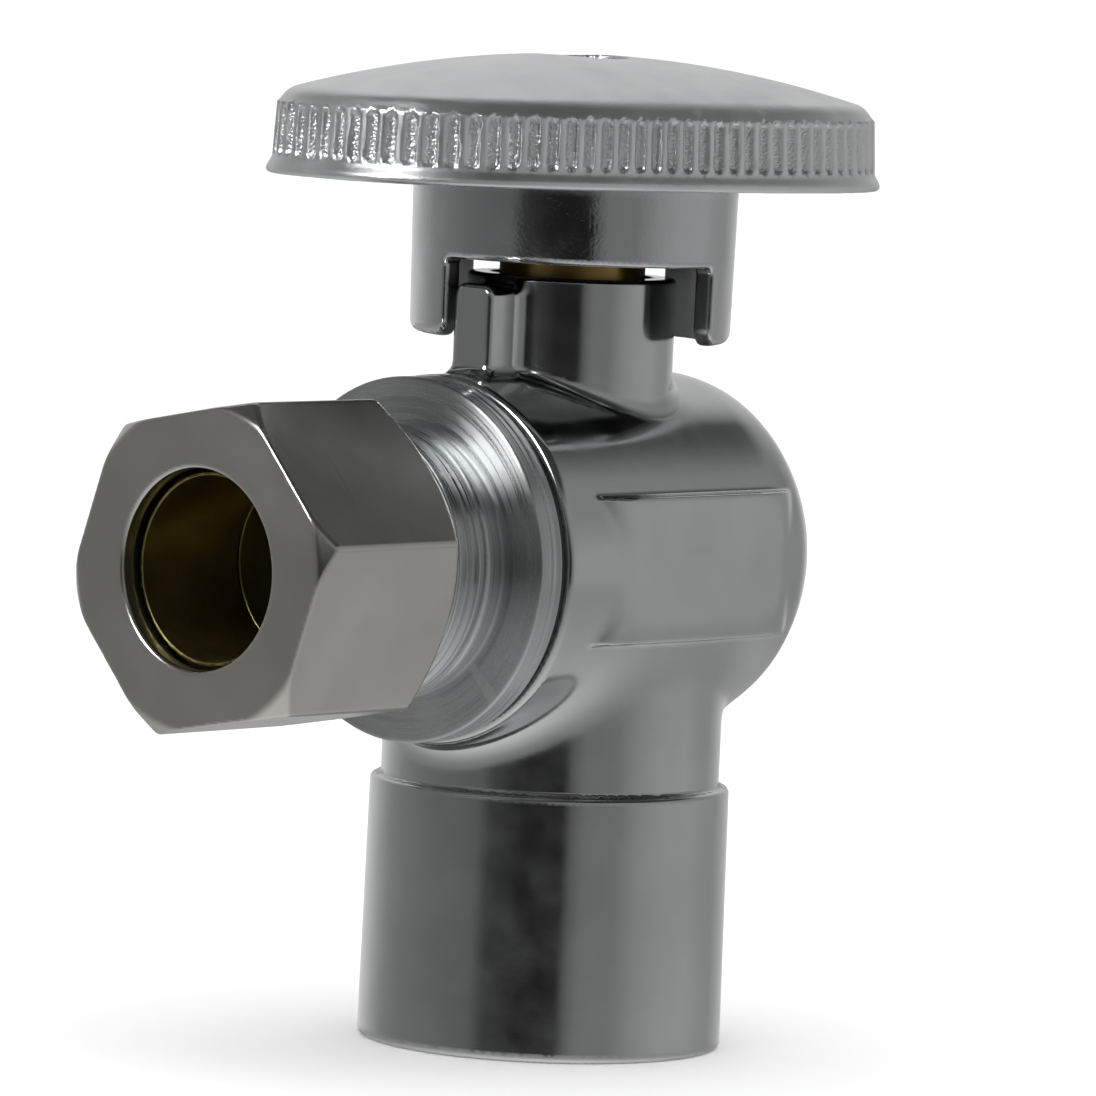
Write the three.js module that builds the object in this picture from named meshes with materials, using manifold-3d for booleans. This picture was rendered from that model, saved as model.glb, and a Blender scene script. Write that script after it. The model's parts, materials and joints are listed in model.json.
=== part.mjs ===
// Quarter-turn angle stop valve: 1/2 in threaded inlet below, compression outlet for 1/2 in tube at the side.
// Millimetres, +Z up. The origin is the centre of the inlet's bottom face, and the outlet points along -Y.
// The handle is drawn in its open position.

import * as THREE from 'three';
import { mergeVertices } from 'three/addons/utils/BufferGeometryUtils.js';
import Module from 'manifold-3d';

const wasm = await Module();
wasm.setup();

// ---------------------------------------------------------------- driving dimensions

const gap = 0.3; // clearance between neighbouring pieces
const past = 1; // how far a cutter runs past the face that it opens
const brokenEdge = 0.3; // chamfer on a plain machined edge
const roundSegments = 36; // sides of a turned piece
const smallSegments = 24; // sides of a small turned piece
const skirtSegments = 48;
const ovalSegments = 60;
const ringSides = 8; // sides of an O-ring's section
const ballRings = 16;
const arcSteps = 6;

// inlet socket and body
const socket = { bottomRadius: 13.0, topRadius: 12.85, top: 18.3, bevel: 0.6 };
const inlet = { mouthRadius: 10.8, radius: 10.1, endRadius: 9.6, mouthDepth: 0.8, depth: 15, runOut: 1.5 };
const waterwayRadius = 4.9;
const risingBoreRadius = 6.2;
const lowerNeckRadius = 12.2;
const outletHeight = 35.0;
const barrel = { radius: 12.95, front: -13.73, domeRadius: 14.13, domeCentre: 5.63, back: 17.8, edge: 0.5 };
const chamber = { radius: 10.4, back: 10.6 };
const neck = { radius: 7.45, top: 54.9, boreRadius: 5.5, counterboreRadius: 6.5, counterboreTop: 48.4 };
const stopRib = { width: 3.6, reach: 10.7, top: 54.3, corner: 1.1 };
const labelPad = { face: 13.1, front: -10.9, back: 10.2, bottom: 29.8, top: 40.15 };

// outlet: adapter, sleeve and nut, along the outlet axis
const adapter = { inner: -10.6, collarBack: -14.43, collarFront: -16.77, front: -28.2 };
const adapterRadius = { spigot: 10.1, collar: 12.85, thread: 9.45 };
const tubeSocket = { radius: 6.45, stop: -20.2, step: -26.6 };
const adapterMouth = { radius: 7.75, innerRadius: 7.1, depth: 1.3 };
const sleeve = { front: -36.4, length: 9.5, boreRadius: 6.42, endRadius: 6.75, radius: 7.35, taper: 1.2 };
const nut = { front: -37.93, length: 14.7, acrossFlats: 21.5, cornerAngle: 11.3, threadRadius: 9.75 };
const nutHole = { radius: 6.9, edge: 0.35, lip: 1.2, coneLength: 1.6, pocketRadius: 7.75, step: -29.5 };
const nutChamfer = { frontRadius: 11.26, frontDepth: 1.06, backRadius: 10.7, backDepth: 1.5 };

// ball and seats
const ballRadius = 9.3;
const seat = { boreRadius: 5.4, radius: chamber.radius - gap, cupRadius: 9.65, outer: 10.3, inner: 5.4 };

// stem
const stem = { radius: 5.2, shoulder: 56.3, top: 65.0, square: 6.0, holeRadius: 2.0, holeBottom: 56.0 };
const stemFlange = { radius: 6.2, bottom: 45.4, top: 46.9 };
const tang = { bottom: 41.9, length: 8.0, width: 2.8 };
const thrustWasher = { bottom: 47.2, top: 48.1, innerRadius: 5.5, radius: 6.2 };
const ring = { radius: 4.7, section: 0.5, grooveRadius: 3.9, grooveHeight: 1.5, lower: 50.1, upper: 52.6 };
const adapterRing = { radius: 9.55, section: 0.55, grooveRadius: 8.7, grooveWidth: 1.7, place: -12.1 };

// handle and its screw
const handle = { length: 48.1, width: 28.6, squareness: 2.6, turn: 80.6, rimBottom: 61.5, rimTop: 67.6 };
const handleTop = { crest: 70.6, bevel: 1.0, flare: 0.4, footHeight: 1.5 };
const handleUnder = { rimWall: 2.2, draft: 0.6, rimDepth: 3.7, plate: 66.2 };
const plateJoin = handle.rimTop - 1.2; // height inside the plate where the skirt and hub end
const skirt = { radius: 11.4, topRadius: 11.6, innerRadius: 9.8, bottom: 50.3, notchTop: 56.0 };
const backNotch = { right: 0.2, front: 0.7 };
const hub = { radius: 5.3, bottom: stem.shoulder + gap, square: stem.square + 2 * gap, top: 65.3 };
const screwSeat = { radius: 3.2, bottom: 67.0, clearanceRadius: 2.1 };
const screw = { headRadius: 2.8, headBottom: 68.3, headTop: 70.1, crown: 0.9, radius: 1.7, bottom: 57.0 };
const crossSlot = { length: 1.6, halfWidth: 0.45, depth: 1.2 };
const lockWasher = { radius: 2.8, innerRadius: 2.0, bottom: 67.3, top: 68.0, split: 0.7 };

// ---------------------------------------------------------------- shapes and solids

const radians = (angle) => angle * Math.PI / 180;
const degrees = (angle) => angle * 180 / Math.PI;

// A manifold solid from a closed three.js geometry, whichever way its profile was drawn.
function solid(geometry) {
  const bare = new THREE.BufferGeometry();
  bare.setAttribute('position', geometry.getAttribute('position'));
  bare.setIndex(geometry.getIndex());
  const merged = mergeVertices(bare, 1e-4);
  const points = merged.getAttribute('position').array;
  const triangles = [];
  let volume = 0;
  for (let i = 0; i < merged.index.count; i += 3) {
    const [a, b, c] = [0, 1, 2].map((k) => merged.index.getX(i + k));
    if (a === b || b === c || c === a) continue;
    const [p, q, r] = [a, b, c].map((n) => new THREE.Vector3().fromArray(points, 3 * n));
    volume += p.dot(q.cross(r));
    triangles.push(a, b, c);
  }
  if (volume < 0) triangles.reverse();
  const mesh = new wasm.Mesh({
    numProp: 3,
    vertProperties: new Float32Array(points),
    triVerts: new Uint32Array(triangles),
  });
  return new wasm.Manifold(mesh);
}

const join = (...solids) => solids.reduce((a, b) => a.add(b));
const cut = (from, ...cutters) => cutters.reduce((a, b) => a.subtract(b), from);

// A solid of revolution about the stem axis, from [radius, z] points.
function turned(profile, segments = roundSegments) {
  const points = profile.map(([r, z]) => new THREE.Vector2(r, z));
  return solid(new THREE.LatheGeometry([...points, points[0]], segments).rotateX(Math.PI / 2));
}

// A solid of revolution about the outlet axis, from [radius, y] points.
function turnedAcross(profile, segments = roundSegments) {
  const points = profile.map(([r, y]) => new THREE.Vector2(r, y));
  const geometry = new THREE.LatheGeometry([...points, points[0]], segments);
  return solid(geometry.translate(0, 0, outletHeight));
}

const disc = (radius, bottom, top) => turned([[0, bottom], [radius, bottom], [radius, top], [0, top]]);
const discAcross = (radius, from, to) => turnedAcross([[0, from], [radius, from], [radius, to], [0, to]]);
const tube = (inner, outer, low, high) => [[inner, low], [outer, low], [outer, high], [inner, high]];

function box([x0, y0, z0], [x1, y1, z1]) {
  const geometry = new THREE.BoxGeometry(x1 - x0, y1 - y0, z1 - z0);
  return solid(geometry.translate((x0 + x1) / 2, (y0 + y1) / 2, (z0 + z1) / 2));
}

// Points of a circular arc in a profile plane, from one angle to another in degrees.
function arc(centre, radius, from, to) {
  return Array.from({ length: arcSteps + 1 }, (_, i) => {
    const angle = radians(from + (to - from) * i / arcSteps);
    return [centre[0] + radius * Math.cos(angle), centre[1] + radius * Math.sin(angle)];
  });
}

// A shallow dome's profile, outwards from its pole: an arc that falls by rise over run.
function domeArc(top, run, rise) {
  const radius = (run * run + rise * rise) / (2 * rise);
  return arc([0, top - radius], radius, 90, 90 - degrees(Math.asin(run / radius)));
}

const group = new THREE.Group();

// Adds a finished solid to the valve as a named mesh.
function place(name, manifold, { color, roughness, metalness }) {
  const { vertProperties, triVerts } = manifold.getMesh();
  const geometry = new THREE.BufferGeometry();
  geometry.setAttribute('position', new THREE.BufferAttribute(new Float32Array(vertProperties), 3));
  geometry.setIndex(new THREE.BufferAttribute(new Uint32Array(triVerts), 1));
  geometry.computeVertexNormals();
  const mesh = new THREE.Mesh(geometry, new THREE.MeshStandardMaterial({ color, roughness, metalness }));
  mesh.name = name;
  group.add(mesh);
}

// ---------------------------------------------------------------- body

// The horizontal barrel: a flat front face with a broken edge, and a domed back that is flat at its pole.
function barrelOutside() {
  const { radius, front, domeRadius, domeCentre, back, edge } = barrel;
  const domeStart = degrees(Math.acos(radius / domeRadius));
  const domeEnd = degrees(Math.asin((back - domeCentre) / domeRadius));
  const dome = arc([0, domeCentre], domeRadius, domeStart, domeEnd);
  return turnedAcross([[0, front], [radius - edge, front], [radius, front + edge], ...dome, [0, back]]);
}

function socketOutside() {
  const { bottomRadius, topRadius, top, bevel } = socket;
  const shoulder = top + bevel;
  return turned([
    [0, 0], [bottomRadius - brokenEdge, 0], [bottomRadius, brokenEdge], [topRadius, top],
    [lowerNeckRadius, shoulder], [lowerNeckRadius, outletHeight], [0, outletHeight],
  ]);
}

// The rib that the handle's lobes stop against, with rounded upper front corner.
function stopRibSolid() {
  const { width, reach, top, corner } = stopRib;
  const side = new THREE.Shape();
  side.moveTo(0, outletHeight);
  side.lineTo(reach, outletHeight);
  side.lineTo(reach, top - corner);
  side.absarc(reach - corner, top - corner, corner, 0, Math.PI / 2, false);
  side.lineTo(0, top);
  const plate = new THREE.ExtrudeGeometry(side, { depth: width, bevelEnabled: false, curveSegments: 5 });
  plate.rotateX(Math.PI / 2).rotateZ(-Math.PI / 2);
  return solid(plate.translate(width / 2, 0, 0));
}

function labelPadSolid(side) {
  const { face, front, back, bottom, top } = labelPad;
  const [low, high] = [side * chamber.radius, side * face].sort((a, b) => a - b);
  return box([low, front, bottom], [high, back, top]);
}

// The waterway: threaded inlet, rising bore, ball chamber open to the front, and the stem's stepped bore.
function bodyHollow() {
  const { mouthRadius, radius, endRadius, mouthDepth, depth, runOut } = inlet;
  const inletBore = turned([
    [0, -past], [mouthRadius, -past], [mouthRadius, 0], [radius, mouthDepth], [endRadius, depth],
    [risingBoreRadius, depth + runOut], [risingBoreRadius, outletHeight], [0, outletHeight],
  ]);
  const ballChamber = discAcross(chamber.radius, barrel.front - past, chamber.back);
  const stemBore = turned([
    [0, outletHeight], [neck.counterboreRadius, outletHeight], [neck.counterboreRadius, neck.counterboreTop],
    [neck.boreRadius, neck.counterboreTop], [neck.boreRadius, neck.top + past], [0, neck.top + past],
  ]);
  return join(inletBore, ballChamber, stemBore);
}

function valveBody() {
  const upperNeck = turned([
    [0, outletHeight], [neck.radius, outletHeight], [neck.radius, neck.top - brokenEdge],
    [neck.radius - brokenEdge, neck.top], [0, neck.top],
  ]);
  const outside = join(
    socketOutside(), barrelOutside(), upperNeck, stopRibSolid(), labelPadSolid(1), labelPadSolid(-1),
  );
  return cut(outside, bodyHollow());
}

// ---------------------------------------------------------------- outlet

function outletAdapter() {
  const { inner, collarBack, collarFront, front } = adapter;
  const { spigot, collar, thread } = adapterRadius;
  const groove = adapterRing.grooveWidth / 2;
  const threadChamfer = 0.5;
  return turnedAcross([
    [waterwayRadius, inner], [spigot, inner], [spigot, adapterRing.place + groove],
    [adapterRing.grooveRadius, adapterRing.place + groove],
    [adapterRing.grooveRadius, adapterRing.place - groove],
    [spigot, adapterRing.place - groove], [spigot, collarBack],
    [collar - brokenEdge, collarBack], [collar, collarBack - brokenEdge],
    [collar, collarFront + brokenEdge], [collar - brokenEdge, collarFront],
    [thread, collarFront], [thread, front + threadChamfer], [thread - threadChamfer, front],
    [adapterMouth.radius, front], [adapterMouth.innerRadius, front + adapterMouth.depth],
    [adapterMouth.innerRadius, tubeSocket.step], [tubeSocket.radius, tubeSocket.step],
    [tubeSocket.radius, tubeSocket.stop], [waterwayRadius, tubeSocket.stop],
  ]);
}

function compressionSleeve() {
  const { front, length, boreRadius, endRadius, radius, taper } = sleeve;
  const back = front + length;
  return turnedAcross([
    [boreRadius, front], [endRadius, front], [radius, front + taper],
    [radius, back - taper], [endRadius, back], [boreRadius, back],
  ]);
}

// A hexagonal bar, chamfered by a cone at both ends and bored for the tube, the sleeve and the thread.
function compressionNut() {
  const { front, length, acrossFlats, cornerAngle, threadRadius } = nut;
  const back = front + length;
  const cornerRadius = acrossFlats / 2 / Math.cos(Math.PI / 6);
  const bar = new THREE.CylinderGeometry(cornerRadius, cornerRadius, length, 6);
  bar.rotateY(Math.PI / 2 - radians(cornerAngle)).translate(0, (front + back) / 2, outletHeight);
  const { frontRadius, frontDepth, backRadius, backDepth } = nutChamfer;
  const envelopeRadius = cornerRadius + 0.01; // just outside the corners
  const envelope = turnedAcross([
    [0, front], [frontRadius, front], [envelopeRadius, front + frontDepth],
    [envelopeRadius, back - backDepth], [backRadius, back], [0, back],
  ]);
  const { radius, edge, lip, coneLength, pocketRadius, step } = nutHole;
  const hollow = turnedAcross([
    [0, front - past], [radius + edge, front - past], [radius + edge, front], [radius, front + edge],
    [radius, front + lip], [pocketRadius, front + lip + coneLength], [pocketRadius, step],
    [threadRadius, step], [threadRadius, back + past], [0, back + past],
  ]);
  return cut(solid(bar).intersect(envelope), hollow);
}

// ---------------------------------------------------------------- ball, seats and seals

// The ball turns about the stem axis: its lower port stays over the inlet and its side port faces the outlet.
function ballSolid() {
  const sphere = new THREE.SphereGeometry(ballRadius, smallSegments, ballRings).rotateX(Math.PI / 2);
  const low = outletHeight - ballRadius - past;
  const high = outletHeight + ballRadius + past;
  const rising = disc(waterwayRadius, low, outletHeight + waterwayRadius);
  const side = discAcross(waterwayRadius, -ballRadius - past, waterwayRadius);
  const slotHalf = tang.width / 2 + gap;
  const slot = box([-ballRadius, -slotHalf, tang.bottom - gap], [ballRadius, slotHalf, high]);
  return cut(solid(sphere.translate(0, 0, outletHeight)), rising, side, slot);
}

// A PTFE ring with a hollow spherical face towards the ball. Side is -1 at the outlet and 1 at the back.
function seatRing(side) {
  const { boreRadius, radius, cupRadius, outer, inner } = seat;
  const rim = degrees(Math.asin(inner / cupRadius));
  const throat = degrees(Math.acos(boreRadius / cupRadius));
  const face = arc([0, 0], cupRadius, rim, throat).map(([r, y]) => [r, side * y]);
  return turnedAcross([[boreRadius, side * outer], [radius, side * outer], [radius, side * inner], ...face]);
}

function stemRing(height) {
  const torus = new THREE.TorusGeometry(ring.radius, ring.section, ringSides, smallSegments);
  return solid(torus.translate(0, 0, height));
}

function adapterRingSolid() {
  const torus = new THREE.TorusGeometry(adapterRing.radius, adapterRing.section, ringSides, roundSegments);
  return solid(torus.rotateX(Math.PI / 2).translate(0, adapterRing.place, outletHeight));
}

// ---------------------------------------------------------------- stem

// Turned to the handle's angle, because the handle sits on the stem's square.
function squareBar(size, bottom, top) {
  const bar = new THREE.BoxGeometry(size, size, top - bottom).translate(0, 0, (bottom + top) / 2);
  return solid(bar.rotateZ(radians(handle.turn)));
}

function stemSolid() {
  const groove = (height) => [
    [stem.radius, height - ring.grooveHeight / 2], [ring.grooveRadius, height - ring.grooveHeight / 2],
    [ring.grooveRadius, height + ring.grooveHeight / 2], [stem.radius, height + ring.grooveHeight / 2],
  ];
  const shaft = turned([
    [0, stemFlange.bottom], [stemFlange.radius, stemFlange.bottom], [stemFlange.radius, stemFlange.top],
    [stem.radius, stemFlange.top], ...groove(ring.lower), ...groove(ring.upper),
    [stem.radius, stem.shoulder], [0, stem.shoulder],
  ], smallSegments);
  const half = tang.length / 2;
  const blade = box([-half, -tang.width / 2, tang.bottom], [half, tang.width / 2, stemFlange.bottom + past]);
  const rounding = disc(half, tang.bottom - past, stemFlange.bottom + 2 * past);
  const drive = squareBar(stem.square, stem.shoulder - past, stem.top);
  const screwHole = disc(stem.holeRadius, stem.holeBottom, stem.top + past);
  return cut(join(shaft, blade.intersect(rounding), drive), screwHole);
}

function thrustWasherSolid() {
  const { innerRadius, radius, bottom, top } = thrustWasher;
  return turned(tube(innerRadius, radius, bottom, top), smallSegments);
}

// ---------------------------------------------------------------- handle

// Draws a round profile out to the handle's oval, a superellipse with its long axis at the handle's angle.
function oval(profile) {
  const points = profile.map(([r, z]) => new THREE.Vector2(r, z));
  const geometry = new THREE.LatheGeometry([...points, points[0]], ovalSegments).rotateX(Math.PI / 2);
  const position = geometry.getAttribute('position');
  const power = 2 / handle.squareness;
  const bow = (value) => Math.sign(value) * Math.abs(value) ** power;
  for (let i = 0; i < position.count; i += 1) {
    const radius = Math.hypot(position.getX(i), position.getY(i));
    const scale = radius / (handle.width / 2);
    const angle = Math.atan2(position.getY(i), position.getX(i));
    position.setX(i, scale * handle.length / 2 * bow(Math.cos(angle)));
    position.setY(i, scale * handle.width / 2 * bow(Math.sin(angle)));
  }
  return solid(geometry.rotateZ(radians(handle.turn)));
}

// The domed plate and its rim, hollow underneath.
function handlePlate() {
  const { width, rimBottom, rimTop } = handle;
  const { crest, bevel, flare, footHeight } = handleTop;
  const { rimWall, draft, rimDepth, plate } = handleUnder;
  const edge = width / 2;
  return oval([
    ...domeArc(crest, edge - bevel, crest - rimTop), [edge - flare, rimTop - bevel],
    [edge - flare, rimBottom + footHeight], [edge, rimBottom + brokenEdge], [edge - brokenEdge, rimBottom],
    [edge - rimWall, rimBottom], [edge - rimWall - draft, rimBottom + rimDepth], [0, plate],
  ]);
}

// The ring under the handle. Two notches leave two lobes; the front notch gives exactly a quarter turn
// between its two ends and the body's stop rib.
function skirtSolid() {
  const { radius, topRadius, innerRadius, bottom, notchTop } = skirt;
  const reach = topRadius + past;
  const stopSide = stopRib.width / 2 + gap;
  const wall = turned([
    [innerRadius, bottom], [radius - brokenEdge, bottom], [radius, bottom + brokenEdge],
    [topRadius, handle.rimBottom], [topRadius, plateJoin], [innerRadius, plateJoin],
  ], skirtSegments);
  const frontNotch = box([-stopSide, -reach, bottom - past], [reach, stopSide, notchTop]);
  const rearNotch = box([-reach, backNotch.front, bottom - past], [backNotch.right, reach, notchTop]);
  return cut(wall, frontNotch, rearNotch);
}

function handleSolid() {
  const hubSolid = disc(hub.radius, hub.bottom, plateJoin);
  const driveHole = squareBar(hub.square, hub.bottom - past, hub.top);
  const screwHole = disc(screwSeat.clearanceRadius, hub.top - past, handleTop.crest + past);
  const recess = disc(screwSeat.radius, screwSeat.bottom, handleTop.crest + past);
  return cut(join(handlePlate(), skirtSolid(), hubSolid), driveHole, screwHole, recess);
}

function handleScrew() {
  const { headRadius, headBottom, headTop, crown, radius, bottom } = screw;
  const body = turned([
    [0, bottom], [radius - brokenEdge, bottom], [radius, bottom + brokenEdge], [radius, headBottom],
    [headRadius, headBottom], ...domeArc(headTop, headRadius, crown).reverse(),
  ], smallSegments);
  const { length, halfWidth, depth } = crossSlot;
  const arms = [[length, halfWidth], [halfWidth, length]].map(
    ([x, y]) => box([-x, -y, headTop - depth], [x, y, headTop + past]),
  );
  return cut(body, ...arms);
}

function lockWasherSolid() {
  const { radius, innerRadius, bottom, top, split } = lockWasher;
  const washer = turned(tube(innerRadius, radius, bottom, top), smallSegments);
  return cut(washer, box([0, -split / 2, bottom - past], [radius + past, split / 2, top + past]));
}

// ---------------------------------------------------------------- the valve

const chrome = { color: 0xb9bcbf, roughness: 0.12, metalness: 1 };
const castChrome = { color: 0xc6c8ca, roughness: 0.2, metalness: 1 };
const satinChrome = { color: 0xa8a5a0, roughness: 0.28, metalness: 1 };
const brass = { color: 0xb08d3c, roughness: 0.3, metalness: 1 };
const steel = { color: 0x9fa1a3, roughness: 0.35, metalness: 1 };
const rubber = { color: 0x161616, roughness: 0.7, metalness: 0 };
const ptfe = { color: 0xeeeeea, roughness: 0.5, metalness: 0 };

place('valve_body', valveBody(), chrome);
place('outlet_adapter', outletAdapter(), chrome);
place('adapter_o_ring', adapterRingSolid(), rubber);
place('outlet_seat', seatRing(-1), ptfe);
place('back_seat', seatRing(1), ptfe);
place('ball', ballSolid(), chrome);
place('stem', stemSolid(), brass);
place('stem_thrust_washer', thrustWasherSolid(), ptfe);
place('stem_o_ring_lower', stemRing(ring.lower), rubber);
place('stem_o_ring_upper', stemRing(ring.upper), rubber);
place('handle', handleSolid(), castChrome);
place('handle_screw', handleScrew(), steel);
place('screw_lock_washer', lockWasherSolid(), steel);
place('compression_nut', compressionNut(), satinChrome);
place('compression_sleeve', compressionSleeve(), brass);

export default group;
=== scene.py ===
"""Angle stop valve: the fine surfaces, materials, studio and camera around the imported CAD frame.

Shapes are written in millimetres, as distance fields or turned profiles. They become meshes in
metres. The stem axis is Z, and the outlet axis runs along -Y at OUTLET_Z.
"""
import functools
import json
import math

import bpy
import numpy as np
from mathutils import Matrix, Vector


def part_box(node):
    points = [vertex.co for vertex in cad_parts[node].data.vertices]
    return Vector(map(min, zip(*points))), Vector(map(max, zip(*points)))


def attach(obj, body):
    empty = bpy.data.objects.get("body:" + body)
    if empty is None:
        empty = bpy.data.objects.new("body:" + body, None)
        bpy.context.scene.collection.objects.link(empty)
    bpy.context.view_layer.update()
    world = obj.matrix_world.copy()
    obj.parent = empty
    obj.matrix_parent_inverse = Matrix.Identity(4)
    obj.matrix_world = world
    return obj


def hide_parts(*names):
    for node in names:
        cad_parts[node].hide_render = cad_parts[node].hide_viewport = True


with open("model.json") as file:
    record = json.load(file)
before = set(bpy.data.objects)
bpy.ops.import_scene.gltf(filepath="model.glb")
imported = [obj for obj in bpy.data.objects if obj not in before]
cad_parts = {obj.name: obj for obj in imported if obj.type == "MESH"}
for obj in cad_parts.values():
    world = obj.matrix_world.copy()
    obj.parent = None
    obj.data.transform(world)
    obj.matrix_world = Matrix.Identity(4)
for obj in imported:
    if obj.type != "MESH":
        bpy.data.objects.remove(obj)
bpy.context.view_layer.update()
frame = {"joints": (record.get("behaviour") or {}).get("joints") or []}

MM = 0.001


# ---------------------------------------------------------------- places read from the frame

def node_box(node):
    """A CAD node's low and high corner in millimetres, as two arrays."""
    low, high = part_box(node)
    return np.array(low) / MM, np.array(high) / MM


def turn_axis(joint):
    """A joint's place in millimetres."""
    found = next(j for j in frame["joints"] if j["name"] == joint)
    return np.array(found["pos_m"]) / MM


OUTLET_Z = turn_axis("nut_turn")[2]
BODY_LOW, BODY_HIGH = node_box("valve_body")
NUT_LOW, NUT_HIGH = node_box("compression_nut")
SLEEVE_LOW, SLEEVE_HIGH = node_box("compression_sleeve")
HANDLE_LOW, HANDLE_HIGH = node_box("handle")
STEM_LOW, STEM_HIGH = node_box("stem")
SCREW_LOW, SCREW_HIGH = node_box("handle_screw")
WASHER_LOW, WASHER_HIGH = node_box("screw_lock_washer")


# ---------------------------------------------------------------- distance fields

def either(a, b, fillet=0.0):
    """The union of two fields, with a concave fillet of that radius."""
    if fillet == 0:
        return np.minimum(a, b)
    u, v = np.maximum(fillet - a, 0), np.maximum(fillet - b, 0)
    return np.maximum(fillet, np.minimum(a, b)) - np.hypot(u, v)


def melted(a, b, reach):
    """The union of two fields, with a soft cast join that reaches that far from the corner."""
    near = np.maximum(reach - np.abs(a - b), 0) / reach
    return np.minimum(a, b) - near ** 3 * reach / 6


def both(a, b, edge=0.0):
    """The intersection of two fields, with a rounded edge of that radius."""
    if edge == 0:
        return np.maximum(a, b)
    u, v = np.maximum(edge + a, 0), np.maximum(edge + b, 0)
    return np.minimum(-edge, np.maximum(a, b)) + np.hypot(u, v)


def without(a, b, edge=0.0):
    return both(a, -b, edge)


def between(value, low, high):
    """A slab: negative between low and high."""
    return np.abs(value - (low + high) / 2) - (high - low) / 2


def cone(radius, along, first, second):
    """The side of a cone through two (radius, along) points; negative on the axis side."""
    (r0, a0), (r1, a1) = first, second
    length = math.hypot(r1 - r0, a1 - a0)
    side = 1 if a1 > a0 else -1
    return side * ((radius - r0) * (a1 - a0) - (along - a0) * (r1 - r0)) / length


def step_up(value):
    """0 below 0, 1 above 1, smooth between."""
    t = np.clip(value, 0, 1)
    return t * t * (3 - 2 * t)


def helix_wave(along, angle, pitch):
    """A thread's wave: 1 on the crest, 0 in the root, for a right-hand thread about that axis."""
    phase = along / pitch - angle / (2 * math.pi)
    ramp = np.abs(2 * (phase - np.floor(phase)) - 1)
    return step_up(1.5 * ramp - 0.25)


# ---------------------------------------------------------------- meshes from fields

BLOCK = 8  # cells along a block's side
NORMAL_REACH = 0.35  # in cells: wide enough to shade a cast join smoothly


def sample_field(field, low, step, shape):
    """The field at every lattice node near the surface; elsewhere only its sign is right."""
    values = np.empty([n * BLOCK + 1 for n in shape], np.float32)
    half = BLOCK * step / 2
    axes = [low[k] + half + BLOCK * step * np.arange(shape[k]) for k in range(3)]
    coarse = field(*np.meshgrid(*axes, indexing="ij"))
    reach = half * math.sqrt(3) * 1.6
    offsets = np.arange(BLOCK + 1)
    for i, j, k in np.ndindex(*shape):
        sign = 1.0 if coarse[i, j, k] > 0 else -1.0
        cells = tuple(slice(n * BLOCK, n * BLOCK + BLOCK + 1) for n in (i, j, k))
        if abs(coarse[i, j, k]) > reach:
            values[cells] = sign
    for i, j, k in np.argwhere(np.abs(coarse) <= reach):
        corner = [low[n] + step * (BLOCK * m + offsets) for n, m in enumerate((i, j, k))]
        cells = tuple(slice(n * BLOCK, n * BLOCK + BLOCK + 1) for n in (i, j, k))
        values[cells] = field(*np.meshgrid(*corner, indexing="ij"))
    return values


def gradient(field, points, reach=0.01):
    slopes = []
    for axis in range(3):
        shift = np.zeros(3)
        shift[axis] = reach
        ahead, behind = points + shift, points - shift
        slopes.append((field(*ahead.T) - field(*behind.T)) / (2 * reach))
    return np.stack(slopes, 1)


def settle(field, points, step):
    """Moves points onto the surface along the field's gradient."""
    for _ in range(3):
        slope = gradient(field, points)
        size = np.maximum((slope ** 2).sum(1), 0.05)
        move = field(*points.T)[:, None] * slope / size[:, None]
        length = np.linalg.norm(move, axis=1, keepdims=True)
        points = points - move * np.minimum(1, 0.5 * step / np.maximum(length, 1e-9))
    return points


def spread(points, faces):
    """Moves each point halfway to the middle of its neighbours, so that no quad is folded."""
    ends = np.concatenate([faces[:, [k, (k + 1) % 4]] for k in range(4)])
    count = np.bincount(ends.ravel(), minlength=len(points))
    middle = np.empty_like(points)
    for axis in range(3):
        value = points[:, axis]
        total = np.bincount(ends[:, 0], value[ends[:, 1]], len(points))
        total += np.bincount(ends[:, 1], value[ends[:, 0]], len(points))
        middle[:, axis] = total / np.maximum(count, 1)
    return (points + middle) / 2


CORNERS = np.array([(i, j, k) for i in (0, 1) for j in (0, 1) for k in (0, 1)])
CELL_EDGES = [(a, b) for a in range(8) for b in range(a + 1, 8)
              if abs(CORNERS[a] - CORNERS[b]).sum() == 1]


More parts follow.
